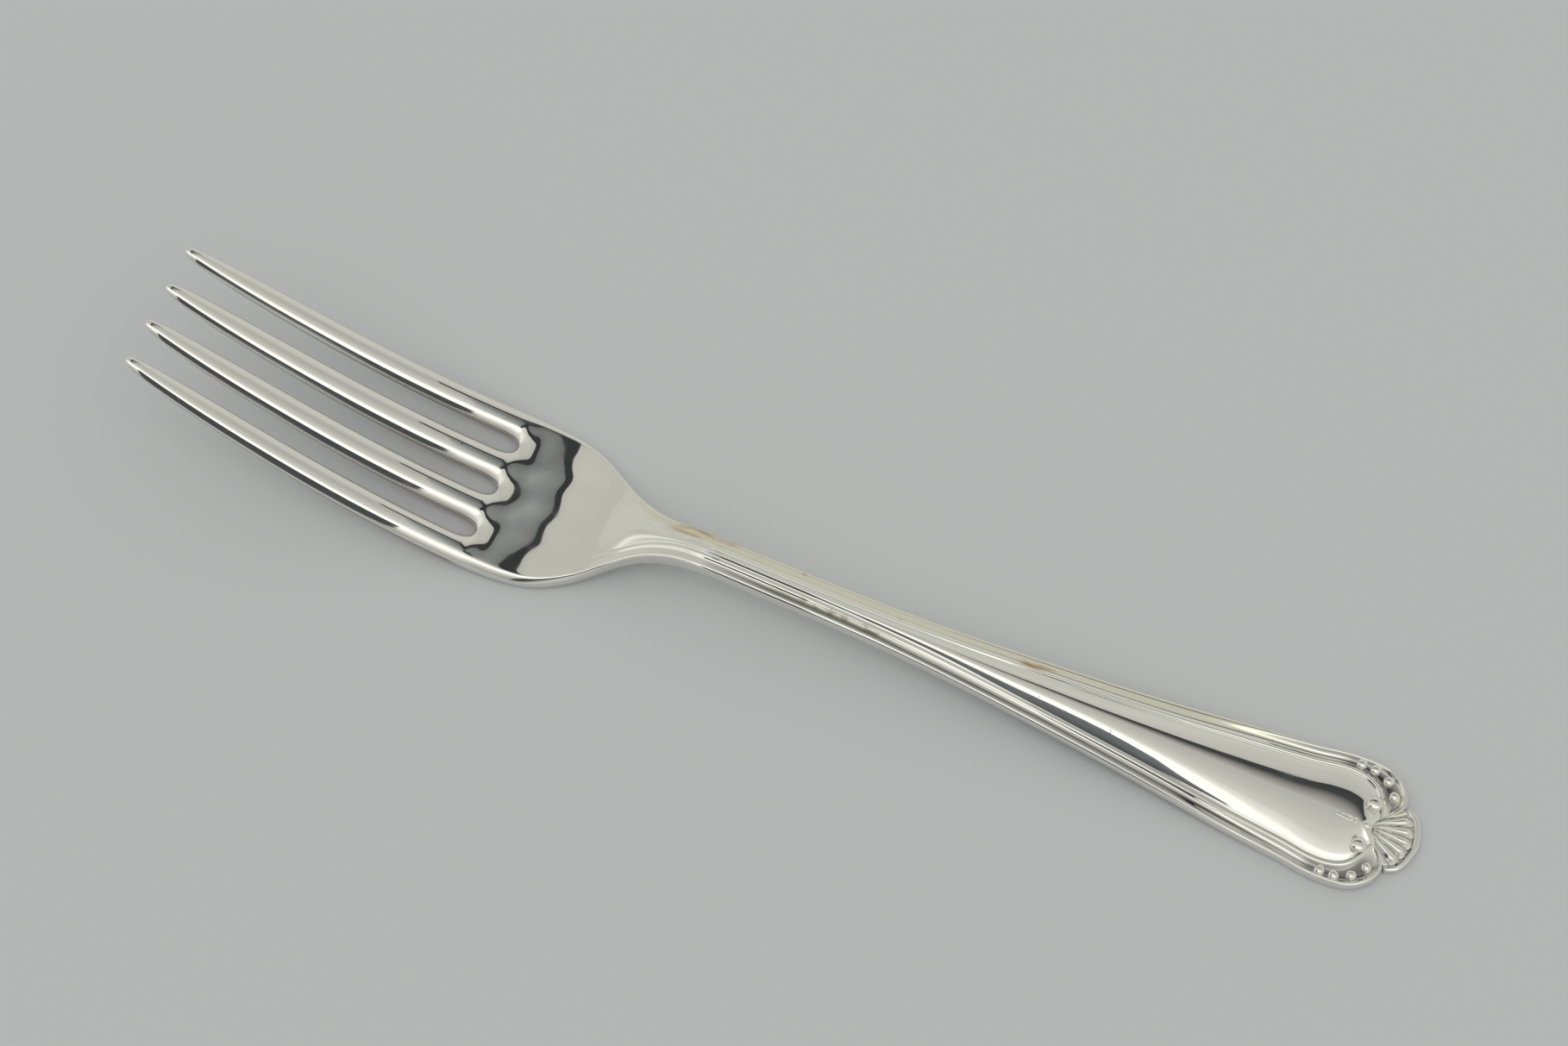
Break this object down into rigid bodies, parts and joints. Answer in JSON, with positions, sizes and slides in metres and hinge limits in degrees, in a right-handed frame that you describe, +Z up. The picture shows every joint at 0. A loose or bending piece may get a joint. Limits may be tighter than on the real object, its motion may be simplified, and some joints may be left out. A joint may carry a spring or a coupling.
{
  "type": "dinner fork",
  "caption": "Silver-plated dinner fork with slender curved tines, a threaded border round a raised panel, and beads and a fluted shell at the handle's end",
  "frame": {"origin": "on the table, under the middle of the fork's bounding box", "axes": "+X from the tine tips to the handle end, +Z up from the table with the tines bending up, +Y across the tines"},
  "size_m": [0.205, 0.0272, 0.0213],
  "materials": {
    "silver": "polished silver plate, lightly worn"
  },
  "bodies": {
    "root": {"tine_1": "silver", "tine_2": "silver", "tine_3": "silver", "tine_4": "silver", "root": "silver", "neck": "silver", "stem": "silver", "grip": "silver", "handle_end": "silver", "shell": "silver", "beads": "silver", "scroll_eyes": "silver", "dart": "silver"}
  },
  "joints": []
}
